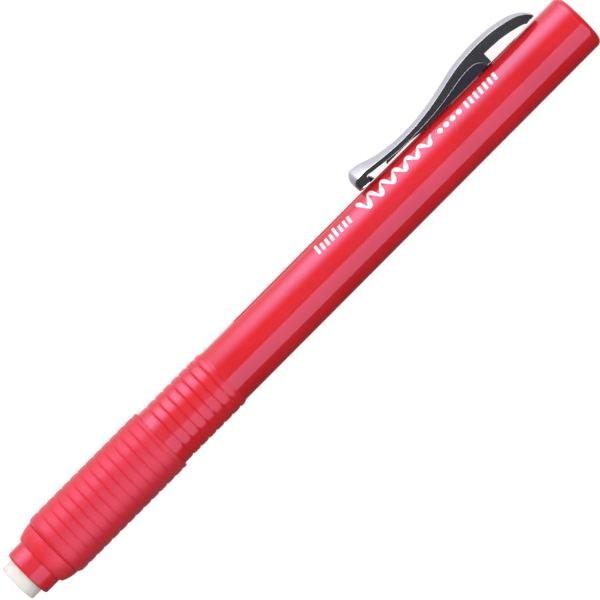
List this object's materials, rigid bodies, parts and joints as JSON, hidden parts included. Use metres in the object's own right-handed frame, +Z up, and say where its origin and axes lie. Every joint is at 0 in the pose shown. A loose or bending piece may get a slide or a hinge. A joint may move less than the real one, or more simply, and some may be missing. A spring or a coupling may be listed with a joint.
{
  "type": "retractable stick eraser",
  "caption": "Pen-shaped eraser holder with a ribbed rubber grip and a sprung clip that slides along a slot to feed out a round white eraser stick.",
  "frame": {"origin": "bottom centre of the holder's box, on the surface that it lies on", "axes": "+X along the holder towards the eraser's tip, +Z up, the clip drooping towards -Y"},
  "size_m": [0.1258, 0.0152, 0.0116],
  "materials": {
    "barrel_plastic": "glossy red, injection moulded",
    "grip_rubber": "matte red rubber",
    "collar_plastic": "satin red",
    "inner_plastic": "off-white, as moulded",
    "steel": "bright wire and pressed leaf",
    "clip_metal": "bright plated",
    "eraser": "soft white vinyl, slightly dusty"
  },
  "bodies": {
    "barrel": {"rear_barrel": "barrel_plastic", "front_barrel": "barrel_plastic", "tail_plug": "barrel_plastic", "nozzle": "barrel_plastic", "rubber_grip": "grip_rubber", "grip_collar": "collar_plastic"},
    "carriage": {"slider_carriage": "inner_plastic", "eraser_holder": "inner_plastic", "clip_pivot_pin": "steel", "clip_spring": "steel", "detent_finger": "steel"},
    "clip": {"clip_lever": "clip_metal"},
    "refill": {"eraser_stick": "eraser"}
  },
  "joints": [
    {"name": "clip_slide", "type": "slide", "parent": "barrel", "child": "carriage", "axis": [1, 0, 0], "range_m": [-0.004, 0.048], "deforming": ["detent_finger"]},
    {"name": "clip_press", "type": "hinge", "parent": "carriage", "child": "clip", "pos_m": [-0.0477, -0.0005, 0.00504], "axis": [0, 0.309, -0.9511], "range_deg": [0, 3], "stiffness_Nm_per_rad": 0.3, "springref_deg": -2.86, "deforming": ["clip_spring"]},
    {"name": "refill_pull", "type": "slide", "parent": "carriage", "child": "refill", "axis": [1, 0, 0], "range_m": [0, 0.075]}
  ]
}
